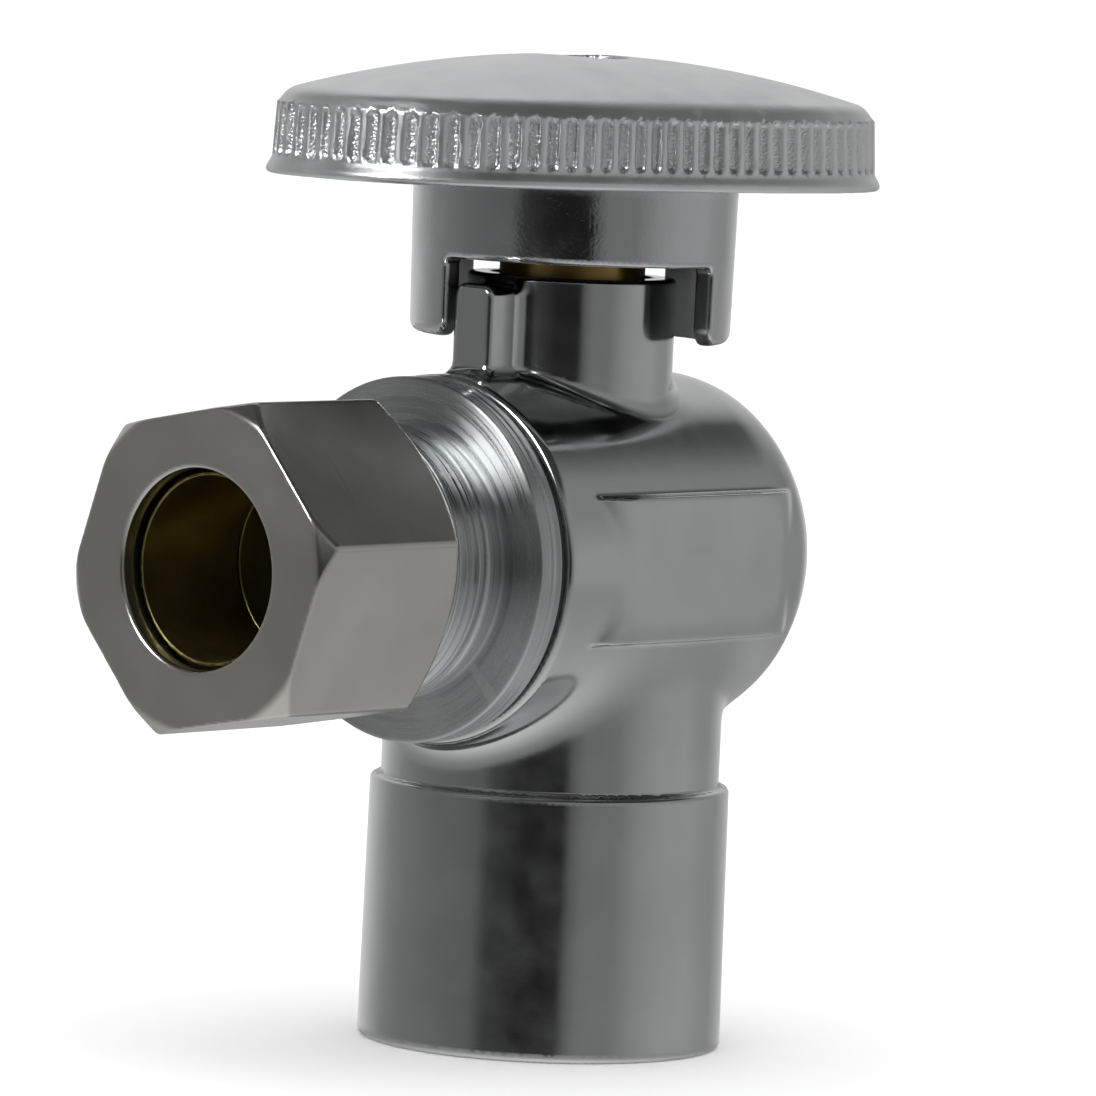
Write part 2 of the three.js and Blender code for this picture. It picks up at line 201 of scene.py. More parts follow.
def net(values, low, step):
    """Surface nets: a point in each cell that the surface crosses, a quad for each crossed edge."""
    inside = values < 0
    cells = [n - 1 for n in values.shape]
    count = np.zeros(cells, np.int8)
    for i, j, k in CORNERS:
        count += inside[i:i + cells[0], j:j + cells[1], k:k + cells[2]]
    active = np.argwhere((count > 0) & (count < 8))
    corner = np.stack([values[tuple((active + c).T)] for c in CORNERS], 1)
    total, crossed = np.zeros((len(active), 3)), np.zeros(len(active))
    for a, b in CELL_EDGES:
        split = (corner[:, a] < 0) != (corner[:, b] < 0)
        share = corner[split, a] / (corner[split, a] - corner[split, b])
        total[split] += CORNERS[a] + share[:, None] * (CORNERS[b] - CORNERS[a])
        crossed[split] += 1
    points = np.array(low) + step * (active + total / crossed[:, None])

    number = np.full(cells, -1, np.int32)
    number[tuple(active.T)] = np.arange(len(active))
    quads = []
    for axis in range(3):
        u, v = (axis + 1) % 3, (axis + 2) % 3
        first = np.moveaxis(inside, axis, 0)[:-1]
        second = np.moveaxis(inside, axis, 0)[1:]
        edges = np.argwhere(np.moveaxis(first != second, 0, axis))
        edges = edges[(edges[:, u] > 0) & (edges[:, v] > 0)]
        edges = edges[(edges[:, u] < cells[u]) & (edges[:, v] < cells[v])]
        step_u, step_v = np.eye(3, dtype=int)[u], np.eye(3, dtype=int)[v]
        ring = [edges - step_u - step_v, edges - step_v, edges, edges - step_u]
        quad = np.stack([number[tuple(c.T)] for c in ring], 1)
        starts_inside = inside[tuple(edges.T)]
        quads.append(np.where(starts_inside[:, None], quad, quad[:, ::-1]))
    return points, np.concatenate(quads)


def add_mesh(name, points, faces, normals=None):
    """A mesh object in metres from points in millimetres, smooth shaded."""
    mesh = bpy.data.meshes.new(name)
    mesh.from_pydata((points * MM).tolist(), [], faces.tolist())
    mesh.polygons.foreach_set("use_smooth", np.ones(len(mesh.polygons), bool))
    if normals is not None:
        mesh.normals_split_custom_set_from_vertices(normals.tolist())
    piece = bpy.data.objects.new(name, mesh)
    bpy.context.scene.collection.objects.link(piece)
    return piece


def from_field(name, field, low, high, step):
    """The field's surface between two corners as a mesh piece, with the field's own normals."""
    margin = 1.5 * step
    low = np.array(low, float) - margin
    shape = np.ceil((np.array(high, float) + margin - low) / (step * BLOCK)).astype(int)
    points, faces = net(sample_field(field, low, step, shape), low, step)
    for _ in range(2):
        points = settle(field, spread(points, faces), step)
    slope = gradient(field, points, NORMAL_REACH * step)
    normals = slope / np.maximum(np.linalg.norm(slope, axis=1, keepdims=True), 1e-9)
    return add_mesh(name, points, faces, normals)


# ---------------------------------------------------------------- meshes from turned profiles

SHADE_GUARD = 0.05  # a point this far past each arc keeps the flat beside it shaded flat


def rounded(profile, radius, steps=4):
    """A closed profile with an arc at each corner. A corner may give its own radius third."""
    count = len(profile)
    out = []
    for i, corner in enumerate(profile):
        here = np.array(corner[:2], float)
        before, after = np.array(profile[i - 1][:2]), np.array(profile[(i + 1) % count][:2])
        size = corner[2] if len(corner) > 2 else radius
        into, away = before - here, after - here
        reach = min(np.linalg.norm(into), np.linalg.norm(away)) * 0.45
        into, away = into / np.linalg.norm(into), away / np.linalg.norm(away)
        half = math.acos(float(np.clip(into @ away, -1, 1))) / 2
        if size == 0 or half > 1.5:
            out.append(here)
            continue
        run = min(size / math.tan(half), reach)
        size = run * math.tan(half)
        middle = here + (into + away) / np.linalg.norm(into + away) * size / math.sin(half)
        start, end = here + into * run, here + away * run
        out.append(start + into * SHADE_GUARD)
        first = math.atan2(*(start - middle)[::-1])
        sweep = (math.atan2(*(end - middle)[::-1]) - first + math.pi) % (2 * math.pi) - math.pi
        for k in range(steps + 1):
            angle = first + sweep * k / steps
            out.append(middle + size * np.array([math.cos(angle), math.sin(angle)]))
        out.append(end + away * SHADE_GUARD)
    return np.array(out)


def turned(name, profile, along, edge=0.08, segments=160, press=None):
    """A ring turned from a closed (radius, along) profile about the stem axis "z" or the outlet
    axis "y". press may change the radius by (radius, along, angle)."""
    outline = rounded(profile, edge)
    following = np.roll(outline, -1, axis=0)
    area = np.sum(outline[:, 0] * following[:, 1] - following[:, 0] * outline[:, 1])
    if area < 0:
        outline = outline[::-1]
    angle = 2 * math.pi * np.arange(segments) / segments
    radius, height = outline[:, 0][None, :], outline[:, 1][None, :]
    if press:
        radius = press(radius, height, angle[:, None])
    c, s = np.cos(angle)[:, None], np.sin(angle)[:, None]
    if along == "z":
        points = np.stack([radius * c, radius * s, height + 0 * c], -1)
    else:
        points = np.stack([radius * s, height + 0 * c, radius * c + OUTLET_Z], -1)
    count = len(outline)
    i, j = np.meshgrid(np.arange(segments), np.arange(count), indexing="ij")
    ahead, up = (i + 1) % segments, (j + 1) % count
    faces = np.stack([i * count + j, ahead * count + j, ahead * count + up, i * count + up], -1)
    return add_mesh(name, points.reshape(-1, 3), faces.reshape(-1, 4))


def o_ring(name, radius, section, along, place):
    circle = [(radius + section * math.cos(t), place + section * math.sin(t))
              for t in np.linspace(0, 2 * math.pi, 24, endpoint=False)]
    return turned(name, circle, along, edge=0, segments=96)


# ---------------------------------------------------------------- valve body

SOCKET_R, SOCKET_TAPER, SOCKET_TOP = 13.0, 0.15 / 18.5, 18.75
LOWER_NECK_R = 12.1
BARREL_R, BARREL_FRONT = 12.95, -13.73
DOME_R, DOME_START = 14.13, 5.63
NECK_R = 7.45
RIB_HALF, RIB_FRONT, RIB_TOP = 1.8, -10.7, 54.3
PAD_FACE, PAD_LOW, PAD_TOP = 13.1, 29.8, 40.15
PAD_FRONT, PAD_BACK, PAD_PROUD = -12.55, 12.0, 0.15

INLET_PITCH, INLET_CREST, INLET_TAPER = 1.814, 9.85, 0.5 / 15
INLET_THREAD_DEPTH, INLET_THREAD_END, INLET_BOTTOM = 0.55, 15.4, 15.6
RISER_R = 6.2
CHAMBER_R, CHAMBER_BACK = 10.4, 10.6
STEM_BORE_R, COUNTERBORE_R, COUNTERBORE_TOP = 5.5, 6.5, 48.4
BODY_STEP = 0.341  # keeps the piece under 200,000 triangles


def body_outside(x, y, z):
    from_stem, from_outlet = np.hypot(x, y), np.hypot(x, z - OUTLET_Z)
    socket = both(from_stem - (SOCKET_R - SOCKET_TAPER * z), between(z, 0, SOCKET_TOP), 0.45)
    lower_neck = both(from_stem - LOWER_NECK_R, between(z, 8, OUTLET_Z))
    cast = either(socket, lower_neck, 0.25)

    dome = np.hypot(from_outlet, np.maximum(y - DOME_START, 0)) - DOME_R
    barrel = both(from_outlet - BARREL_R, dome, 0.8)
    barrel = both(barrel, y - BODY_HIGH[1], 3.0)
    barrel = both(barrel, BARREL_FRONT - y, 0.45)
    cast = melted(cast, barrel, 3.2)

    neck = both(both(from_stem - NECK_R, z - BODY_HIGH[2], 0.35), OUTLET_Z - z)
    cast = either(cast, neck, 0.8)
    rib = both(np.abs(x) - RIB_HALF, between(z, OUTLET_Z, RIB_TOP), 0.9)
    rib = both(rib, between(y, RIB_FRONT, 0), 0.45)
    cast = either(cast, rib, 0.9)

    pad = both(np.abs(x) - PAD_FACE, PAD_FRONT - y, 6.0)
    pad = both(both(pad, y - PAD_BACK, 3.2), dome - PAD_PROUD, 0.8)
    pad = both(pad, between(z, PAD_LOW, PAD_TOP), 0.22)
    return either(cast, pad, 0.25)


def body_inside(x, y, z):
    from_stem, from_outlet = np.hypot(x, y), np.hypot(x, z - OUTLET_Z)
    crest = INLET_CREST - INLET_TAPER * z
    wave = 1 - helix_wave(z, np.arctan2(y, x), INLET_PITCH)
    thread = crest + INLET_THREAD_DEPTH * wave * step_up((INLET_THREAD_END - z) / 1.5)
    socket = both(from_stem - thread, z - INLET_BOTTOM, 0.2)
    socket = either(socket, cone(from_stem, z, (10.9, 0.0), (9.9, 1.1)), 0.0)
    riser = both(from_stem - RISER_R, between(z, 10, OUTLET_Z))
    chamber = both(from_outlet - CHAMBER_R, between(y, -20, CHAMBER_BACK), 0.4)
    counterbore = both(from_stem - COUNTERBORE_R, between(z, OUTLET_Z, COUNTERBORE_TOP))
    stem_bore = either(counterbore, both(from_stem - STEM_BORE_R, between(z, 40, 60)))
    return np.minimum(np.minimum(both(socket, z - 20), riser), np.minimum(chamber, stem_bore))


def body_field(x, y, z):
    return without(body_outside(x, y, z), body_inside(x, y, z), 0.2)


def valve_body():
    piece = from_field("body_casting", body_field, BODY_LOW, BODY_HIGH, BODY_STEP)
    return finish_piece(piece, "valve", "cast_chrome_body", cast_chrome(), "valve_body")


# ---------------------------------------------------------------- outlet: adapter, sleeve and nut

OUTLET_PITCH = 1.27
THREAD_R, THREAD_FRONT, THREAD_BACK = 9.7, -28.2, -17.6
THREAD_CUT, THREAD_WEAR = 0.34, 0.05  # depth of the worn thread, and of the ripples left on it
THREAD_STEP = 0.11  # spacing of the profile's points along the thread
SPIGOT_R, SPIGOT_END, SEAL_GROOVE_R = 10.1, -10.6, 8.7
COLLAR_R, COLLAR_BACK, COLLAR_FRONT, RELIEF_R = 12.85, -14.43, -16.77, 9.35
MOUTH_R, MOUTH_BOTTOM = 7.1, -26.6
TUBE_R, TUBE_STOP, PORT_R = 6.45, -20.2, 4.9
PLATED_R = 7.9  # bare brass inside that radius, its dark colour partly painted shade

NUT_CORNER_TURN = math.radians(11.3)
NUT_FLAT, NUT_FACE_R, NUT_CORNER_R = 10.75, 11.26, 12.41
NUT_HOLE_R, NUT_POCKET_R, NUT_LIP = 6.9, 7.75, 1.2
NUT_ROOT, NUT_THREAD_DEPTH = 9.78, 0.4


def outlet_thread(radius, y, angle):
    """Cuts a low worn thread into the shank, fading out at both ends."""
    fade = step_up((y - THREAD_FRONT) / 1.2) * step_up((THREAD_BACK - 0.6 - y) / 1.6)
    ripple = THREAD_WEAR * np.sin(9.1 * y + 2 * np.sin(angle))
    cut = THREAD_CUT * (1 - helix_wave(-y, angle, OUTLET_PITCH)) + ripple
    return np.where(radius > THREAD_R - 0.3, radius - fade * np.maximum(cut, 0), radius)


def outlet_adapter():
    """Spigot with its seal groove, collar, threaded shank, and the bore that takes the tube."""
    thread = [(THREAD_R, y) for y in np.arange(THREAD_BACK, THREAD_FRONT + 0.9, -THREAD_STEP)]
    spigot = [
        (PORT_R, SPIGOT_END, 0.3), (SPIGOT_R, SPIGOT_END, 0.4),
        (SPIGOT_R, -11.25), (SEAL_GROOVE_R, -11.25), (SEAL_GROOVE_R, -12.95), (SPIGOT_R, -12.95),
    ]
    collar = [
        (SPIGOT_R, COLLAR_BACK, 0), (COLLAR_R, COLLAR_BACK, 0.3), (COLLAR_R, COLLAR_FRONT, 0.22),
        (RELIEF_R, COLLAR_FRONT, 0.25), (RELIEF_R, -17.3, 0.2),
    ]
    mouth = [
        (THREAD_R, THREAD_FRONT + 0.7, 0.15), (9.1, THREAD_FRONT, 0.15), (7.75, THREAD_FRONT, 0.12),
        (MOUTH_R, THREAD_FRONT + 1.3, 0.1), (MOUTH_R, MOUTH_BOTTOM),
    ]
    bore = [(TUBE_R, MOUTH_BOTTOM, 0.12), (TUBE_R, TUBE_STOP), (PORT_R, TUBE_STOP, 0.2)]
    profile = spigot + collar + thread + mouth + bore
    piece = turned("adapter_turning", profile, "y", segments=240, press=outlet_thread)
    finish_piece(piece, "valve", "turned_chrome", turned_chrome(), "outlet_adapter")
    bare_bore(piece, PLATED_R)


def bare_bore(piece, radius):
    """Unplated brass on the faces inside that radius about the outlet axis; its dark colour is
    partly painted shade in the bore.
    """
    piece.data.materials.append(dark_brass())
    for face in piece.data.polygons:
        if math.hypot(face.center.x, face.center.z - OUTLET_Z * MM) < radius * MM:
            face.material_index = 1


def nut_field(x, y, z):
    """A hexagon bar with turned ends, a tube hole, a pocket for the ferrule, and a thread."""
    radius = np.hypot(x, z - OUTLET_Z)
    front, back = NUT_LOW[1], NUT_HIGH[1]
    bar = None
    for k in range(3):
        angle = NUT_CORNER_TURN + math.radians(30 + 60 * k)
        face = np.abs(x * math.cos(angle) + (z - OUTLET_Z) * math.sin(angle)) - NUT_FLAT
        bar = face if bar is None else both(bar, face, 0.25)
    bar = both(bar, between(y, front, back), 0.2)
    bar = both(bar, cone(radius, y, (NUT_FACE_R, front), (NUT_CORNER_R, front + 1.06)), 0.18)
    bar = both(bar, cone(radius, y, (NUT_CORNER_R, back - 1.5), (NUT_FLAT - 0.05, back)), 0.18)
    hole = both(radius - NUT_HOLE_R, y + 25)
    mouth = cone(radius, y, (NUT_HOLE_R, front + NUT_LIP), (NUT_POCKET_R, front + NUT_LIP + 1.6))
    pocket = both(both(radius - NUT_POCKET_R, mouth), front + NUT_LIP - y)
    wave = helix_wave(-y, np.arctan2(x, z - OUTLET_Z), OUTLET_PITCH)
    root = NUT_ROOT + NUT_THREAD_DEPTH * (1 - wave)
    thread = both(radius - root, -29.5 - y, 0.1)
    thread = either(thread, both(cone(radius, y, (9.8, back - 0.8), (10.4, back)), -30 - y), 0.0)
    return without(bar, either(either(hole, pocket), thread), 0.3)


def compression_nut():
    piece = from_field("hex_nut", nut_field, NUT_LOW, NUT_HIGH, 0.21)
    return finish_piece(piece, "nut", "nut_chrome", satin_chrome(), "compression_nut")


def compression_sleeve():
    front, back = SLEEVE_LOW[1], SLEEVE_HIGH[1]
    bore, lip, crown, slope = 6.42, 6.6, 7.35, 1.2
    piece = turned("brass_sleeve", [
        (bore, front, 0.05), (lip, front, 0.06), (crown, front + slope, 0.5),
        (crown, back - slope, 0.5), (lip, back, 0.06), (bore, back, 0.05),
    ], "y")
    # the sleeve's dark brass is partly painted shade, for its place inside the nut
    return finish_piece(piece, "sleeve", "sleeve_brass", dark_brass(), "compression_sleeve")


# ---------------------------------------------------------------- handle

HANDLE_A, HANDLE_B, SQUARENESS = 24.02, 14.285, 2.6
HANDLE_TURN = math.radians(80.6)
RIM_BOTTOM, RIM_TOP = 61.5, 67.6
FLUTE_PITCH = 1.48
FLUTE_DEPTH = 0.42
PRESSED = "pressed"  # attribute that is 1 at the bottom of the rim's slots
PAINTED_SHADE = "painted_shade"  # attribute that is 1 on the hollow underside and inside the skirt, where shade is painted
FLUTE_LOW, FLUTE_TOP, FLUTE_HALF = 1.35, 4.95, 0.42  # heights above RIM_BOTTOM, half width
RIM_WALL = 2.2
DOME_RISE, DOME_INSET = 2.99, 1.6
UNDER_EDGE, UNDER_RISE = 65.0, 1.4
SKIRT_R, SKIRT_DRAFT, SKIRT_IN_R = 11.4, 0.2 / 11.2, 9.8
SKIRT_BOTTOM, SKIRT_NOTCH = 50.3, 56.0
STOP_SIDE = 2.1
HUB_R, HUB_BOTTOM, HUB_DRIVE, HUB_DRIVE_TOP = 5.3, 56.6, 3.3, 65.3
PLATE_UNDER = 66.2
RECESS_R, RECESS_BOTTOM, SCREW_HOLE_R = 3.2, 67.0, 2.1
HANDLE_STEP = 0.295  # keeps the piece under 200,000 triangles


def oval_frame(x, y):
    """Coordinates along the handle's long and short axes."""
    c, s = math.cos(HANDLE_TURN), math.sin(HANDLE_TURN)
    return x * c + y * s, -x * s + y * c


def oval_share(u, v, a, b):
    """How far out a point is as a share of the oval's own radius there."""
    n = SQUARENESS
    return (np.abs(u / a) ** n + np.abs(v / b) ** n) ** (1 / n)


def oval_distance(u, v, inset=0.0):
    a, b, n = HANDLE_A - inset, HANDLE_B - inset, SQUARENESS
    share = np.maximum(oval_share(u, v, a, b), 1e-6)
    slope_u = (np.abs(u / a) / share) ** (n - 1) / a
    slope_v = (np.abs(v / b) / share) ** (n - 1) / b
    return (share - 1) / np.hypot(slope_u, slope_v)


def perimeter_table():
    """Angle and length along the oval's edge, for even flutes."""
    t = np.linspace(-math.pi, math.pi, 4001)
    ray = 1 / oval_share(np.cos(t), np.sin(t), HANDLE_A, HANDLE_B)
    u, v = ray * np.cos(t), ray * np.sin(t)
    length = np.concatenate([[0], np.cumsum(np.hypot(np.diff(u), np.diff(v)))])
    return t, length


EDGE_ANGLE, EDGE_LENGTH = perimeter_table()
FLUTES = round(EDGE_LENGTH[-1] / FLUTE_PITCH)


def flute_depth(u, v, height):
    """Depth of the slots pressed into the rim: upright, with round ends."""
    pitch = EDGE_LENGTH[-1] / FLUTES
    along = np.interp(np.arctan2(v, u), EDGE_ANGLE, EDGE_LENGTH) / pitch
    across = (along - np.floor(along) - 0.5) * pitch
    low, high = RIM_BOTTOM + FLUTE_LOW, RIM_BOTTOM + FLUTE_TOP
    beyond = np.maximum(np.maximum(low + FLUTE_HALF - height, height - (high - FLUTE_HALF)), 0)
    return FLUTE_DEPTH * step_up((FLUTE_HALF + 0.12 - np.hypot(across, beyond)) / 0.34)


def rim_inset(height):
    """The rim's profile: a flared foot, an upright fluted band and a bevelled top band."""
    h = height - RIM_BOTTOM
    foot = 0.42 * step_up((h - 0.3) / 1.0)
    lean = 0.05 * np.clip(h - 1.3, 0, 4)
    bevel = 0.12 * step_up((h - 5.0) / 0.15) + 0.75 * np.clip(h - 5.1, 0, 2)
    return foot + lean + bevel


def handle_plate(u, v, z):
    """The domed oval plate with its fluted rim, hollow underneath."""
    share = oval_share(u, v, HANDLE_A - DOME_INSET, HANDLE_B - DOME_INSET)
    side = oval_distance(u, v) + rim_inset(z) + flute_depth(u, v, z)
    top = z - (RIM_TOP + DOME_RISE * (1 - np.minimum(share, 1.2) ** 2))
    plate = both(both(side, top, 0.35), RIM_BOTTOM - z, 0.35)
    ceiling = UNDER_EDGE + UNDER_RISE * (1 - np.minimum(share, 1) ** 2)
    under = both(oval_distance(u, v) + RIM_WALL, z - ceiling, 0.8)
    return without(plate, under, 0.3)


def skirt_field(x, y, z):
    """The skirt round the neck. Two lobes hang below its notch and stop against the body's rib."""
    radius = np.hypot(x, y)
    outside = SKIRT_R + SKIRT_DRAFT * (z - SKIRT_BOTTOM)
    ring = both(radius - outside, between(z, SKIRT_BOTTOM, PLATE_UNDER), 1.0)
    ring = without(ring, radius - SKIRT_IN_R, 0.35)
    front_lobe = both(both(x + STOP_SIDE, y - 0.7, 0.8), SKIRT_BOTTOM - z, 1.4)
    back_lobe = both(both(0.2 - x, STOP_SIDE - y, 0.8), SKIRT_BOTTOM - z, 1.4)
    kept = either(either(SKIRT_NOTCH - z, front_lobe, 0.5), back_lobe, 0.5)
    return both(ring, kept, 0.35)


def handle_field(x, y, z):
    u, v = oval_frame(x, y)
    radius = np.hypot(x, y)
    hub = both(radius - HUB_R, between(z, HUB_BOTTOM, PLATE_UNDER), 0.3)
    casting = either(either(handle_plate(u, v, z), skirt_field(x, y, z), 0.5), hub, 0.5)
    drive = both(both(np.abs(u) - HUB_DRIVE, np.abs(v) - HUB_DRIVE, 0.3), z - HUB_DRIVE_TOP, 0.2)
    hole = either(radius - SCREW_HOLE_R, both(radius - RECESS_R, RECESS_BOTTOM - z, 0.15))
    return without(casting, either(drive, hole), 0.15)


def handle():
    piece = from_field("handle_casting", handle_field, HANDLE_LOW, HANDLE_HIGH, HANDLE_STEP)
    x, y, z = np.array([v.co for v in piece.data.vertices]).T / MM
    u, v = oval_frame(x, y)
    inset, radius = -oval_distance(u, v), np.hypot(x, y)
    pressed = flute_depth(u, v, z) * (inset < 1.5) / FLUTE_DEPTH
    covered = z < PLATE_UNDER + 0.4
    under = (inset > RIM_WALL - 0.2) & (radius > SKIRT_R + 0.4) & (z > RIM_BOTTOM - 0.5)
    # the hollow underside and the inside of the skirt, where the material paints shade
    painted_shade = 1.0 * (covered & (under | (radius < SKIRT_R - 0.25)))
    for name, value in ((PRESSED, pressed), (PAINTED_SHADE, painted_shade)):
        piece.data.attributes.new(name, "FLOAT", "POINT").data.foreach_set("value", value)
    return finish_piece(piece, "handle", "handle_chrome", handle_chrome(), "handle")


# ---------------------------------------------------------------- stem, screw and washers

def square_field(x, y, size, edge):
    u, v = oval_frame(x, y)
    return both(np.abs(u) - size / 2, np.abs(v) - size / 2, edge)


STEM_R, SHAFT_LOW, STEM_SHOULDER, STEM_TOP = 5.2, 46, 56.3, 65.0
FLANGE_R, FLANGE_LOW, FLANGE_TOP = 6.2, 45.4, 46.9
GROOVE_R, GROOVE_HALF = 3.9, 0.75
SEAL_HEIGHTS = (50.1, 52.6)
BLADE_HALF, BLADE_R, BLADE_LOW = 1.4, 4.0, 41.9
SQUARE = 6.0
SCREW_HOLE_BOTTOM = 56.0
SCREW_HEAD_R, SCREW_HEAD_BOTTOM, SCREW_CROWN_R = 2.8, 68.3, 5.2
SCREW_PITCH, SCREW_CORE_R, SCREW_THREAD = 0.8, 1.5, 0.18
CROSS_LENGTH, CROSS_HALF = 1.75, 0.38


def stem_field(x, y, z):
    """A shaft with a retaining flange, two seal grooves, a blade below and a square above."""
    radius = np.hypot(x, y)
    shaft = both(radius - STEM_R, between(z, SHAFT_LOW, STEM_SHOULDER), 0.2)
    flange = both(radius - FLANGE_R, between(z, FLANGE_LOW, FLANGE_TOP), 0.2)
    shaft = either(shaft, flange, 0.15)
    for height in SEAL_HEIGHTS:
        level = between(z, height - GROOVE_HALF, height + GROOVE_HALF)
        groove = both(level, GROOVE_R - radius, 0.1)
        shaft = without(shaft, groove, 0.1)
    blade = both(np.abs(y) - BLADE_HALF, radius - BLADE_R, 0.1)
    blade = both(blade, between(z, BLADE_LOW, SHAFT_LOW), 0.2)
    drive = both(square_field(x, y, SQUARE, 0.5), between(z, 55, STEM_TOP), 0.25)
    screw_hole = both(radius - 1.85, SCREW_HOLE_BOTTOM - z)
    return without(either(either(shaft, blade), drive, 0.1), screw_hole, 0.1)


def screw_field(x, y, z):
    radius = np.hypot(x, y)
    low, high = SCREW_LOW[2], SCREW_HIGH[2]
    thread = SCREW_CORE_R + SCREW_THREAD * helix_wave(z, np.arctan2(y, x), SCREW_PITCH)
    shank = both(radius - thread, between(z, low, high - 1.5), 0.2)
    crown = np.sqrt(radius ** 2 + (z - (high - SCREW_CROWN_R)) ** 2) - SCREW_CROWN_R
    head = both(both(radius - SCREW_HEAD_R, crown, 0.2), SCREW_HEAD_BOTTOM - z, 0.12)
    across = both(np.abs(x) - CROSS_LENGTH, np.abs(y) - CROSS_HALF)
    along = both(np.abs(y) - CROSS_LENGTH, np.abs(x) - CROSS_HALF)
    arms = either(across, along, 0.15)
    cross = both(arms, cone(radius, z, (0.5, high - 1.4), (1.9, high)), 0.05)
    return without(either(shank, head), cross, 0.08)


def stem_and_screw():
    stem = from_field("stem_turning", stem_field, STEM_LOW, STEM_HIGH, 0.2)
    finish_piece(stem, "handle", "stem_brass", bright_brass(), "stem")
    screw = from_field("cross_screw", screw_field, SCREW_LOW, SCREW_HIGH, 0.11)
    finish_piece(screw, "handle", "screw_steel", zinc_steel(), "handle_screw")


def lock_washer_field(x, y, z):
    """A ring of square wire with a slanted split."""
    radius = np.hypot(x, y)
    middle, half = 2.45, 0.35
    washer = both(np.abs(radius - middle) - half, between(z, WASHER_LOW[2], WASHER_HIGH[2]), 0.08)
    split = both(np.abs(y + 0.6 * (z - WASHER_LOW[2] - half)) - 0.3, -x)
    return without(washer, split, 0.05)


# ---------------------------------------------------------------- ball, seats and seals

BALL_R, PORT_END = 9.3, 2.0
BALL_SLOT_HALF, BALL_SLOT_BOTTOM = 1.7, 41.6
SEAT_BORE_R, SEAT_R, SEAT_OUTER, SEAT_INNER, SEAT_GAP = 5.4, 10.1, 10.3, 5.4, 0.35
ADAPTER_SEAL_R, ADAPTER_SEAL_WIRE = 9.55, 0.55
STEM_SEAL_R, STEM_SEAL_WIRE = 4.7, 0.5


def ball_field(x, y, z):
    """A ball with an L-shaped port from below to the outlet, and a slot for the stem's blade."""
    height = z - OUTLET_Z
    ball = np.sqrt(x ** 2 + y ** 2 + height ** 2) - BALL_R
    rising = both(np.hypot(x, y) - PORT_R, height - PORT_END, 1.5)
    side = both(np.hypot(x, height) - PORT_R, y - PORT_END, 1.5)
    slot = both(np.abs(y) - BALL_SLOT_HALF, BALL_SLOT_BOTTOM - z, 0.1)
    return without(without(ball, either(rising, side, 0.4), 0.25), slot, 0.2)


def seat_profile(side):
    """A seat ring's section, hollowed for the ball. Side is -1 at the outlet, 1 at the back."""
    cup = BALL_R + SEAT_GAP
    angles = np.linspace(math.acos(SEAT_INNER / cup), math.asin(SEAT_BORE_R / cup), 10)
    face = [(cup * math.sin(a), side * cup * math.cos(a), 0) for a in angles]
    outer, inner = side * SEAT_OUTER, side * SEAT_INNER
    return [(SEAT_BORE_R, outer), (SEAT_R, outer), (SEAT_R, inner), *face]


def seals():
    low, high = node_box("ball")
    ball = from_field("port_ball", ball_field, low, high, 0.3)
    finish_piece(ball, "ball", "ball_chrome", mirror_chrome(), "ball")
    for node, side in (("outlet_seat", -1), ("back_seat", 1)):
        seat = turned(node + "_ring", seat_profile(side), "y", segments=96)
        finish_piece(seat, "valve", "seat_ptfe", ptfe(), node)
    low, high = node_box("stem_thrust_washer")
    section = [(STEM_BORE_R, low[2]), (FLANGE_R, low[2]),
               (FLANGE_R, high[2]), (STEM_BORE_R, high[2])]
    washer = turned("thrust_ring", section, "z", segments=96)
    finish_piece(washer, "valve", "seat_ptfe", ptfe(), "stem_thrust_washer")
    low, high = node_box("adapter_o_ring")
    ring = o_ring("adapter_seal", ADAPTER_SEAL_R, ADAPTER_SEAL_WIRE, "y", (low[1] + high[1]) / 2)
    finish_piece(ring, "valve", "seal_rubber", nitrile(), "adapter_o_ring")
    for node in ("stem_o_ring_lower", "stem_o_ring_upper"):
        low, high = node_box(node)
        ring = o_ring(node + "_seal", STEM_SEAL_R, STEM_SEAL_WIRE, "z", (low[2] + high[2]) / 2)
        finish_piece(ring, "handle", "seal_rubber", nitrile(), node)
    washer = from_field("split_washer", lock_washer_field, WASHER_LOW, WASHER_HIGH, 0.1)
    finish_piece(washer, "handle", "screw_steel", zinc_steel(), "screw_lock_washer")


# ---------------------------------------------------------------- materials

def attribute(tree, name):
    node = tree.nodes.new("ShaderNodeAttribute")
    node.attribute_name = name
    return node.outputs["Fac"]


def new_material(name, colour, metallic, roughness):
    """A Principled material, and its node tree and shader for the detail nodes."""
    material = bpy.data.materials.new(name)
    material.use_nodes = True
    tree = material.node_tree
    shader = tree.nodes["Principled BSDF"]
    shader.inputs["Base Color"].default_value = (*colour, 1)
    shader.inputs["Metallic"].default_value = metallic
    shader.inputs["Roughness"].default_value = roughness
    return material, tree, shader


def noise(tree, scale, detail=4.0, stretch=(1, 1, 1), distortion=0.0):
    """A noise value over the object's own coordinates. Scale is in features per metre."""
    where = tree.nodes.new("ShaderNodeTexCoord")
    mapping = tree.nodes.new("ShaderNodeMapping")
    mapping.inputs["Scale"].default_value = stretch
    texture = tree.nodes.new("ShaderNodeTexNoise")
    texture.inputs["Scale"].default_value = scale
    texture.inputs["Detail"].default_value = detail
    texture.inputs["Distortion"].default_value = distortion
    tree.links.new(where.outputs["Object"], mapping.inputs["Vector"])
    tree.links.new(mapping.outputs["Vector"], texture.inputs["Vector"])
    return texture.outputs["Fac"]


def remap(tree, value, low, high, to_low, to_high):
    node = tree.nodes.new("ShaderNodeMapRange")
    sockets = ("From Min", "From Max", "To Min", "To Max")
    for socket, number in zip(sockets, (low, high, to_low, to_high)):
        node.inputs[socket].default_value = number
    tree.links.new(value, node.inputs["Value"])
    return node.outputs["Result"]


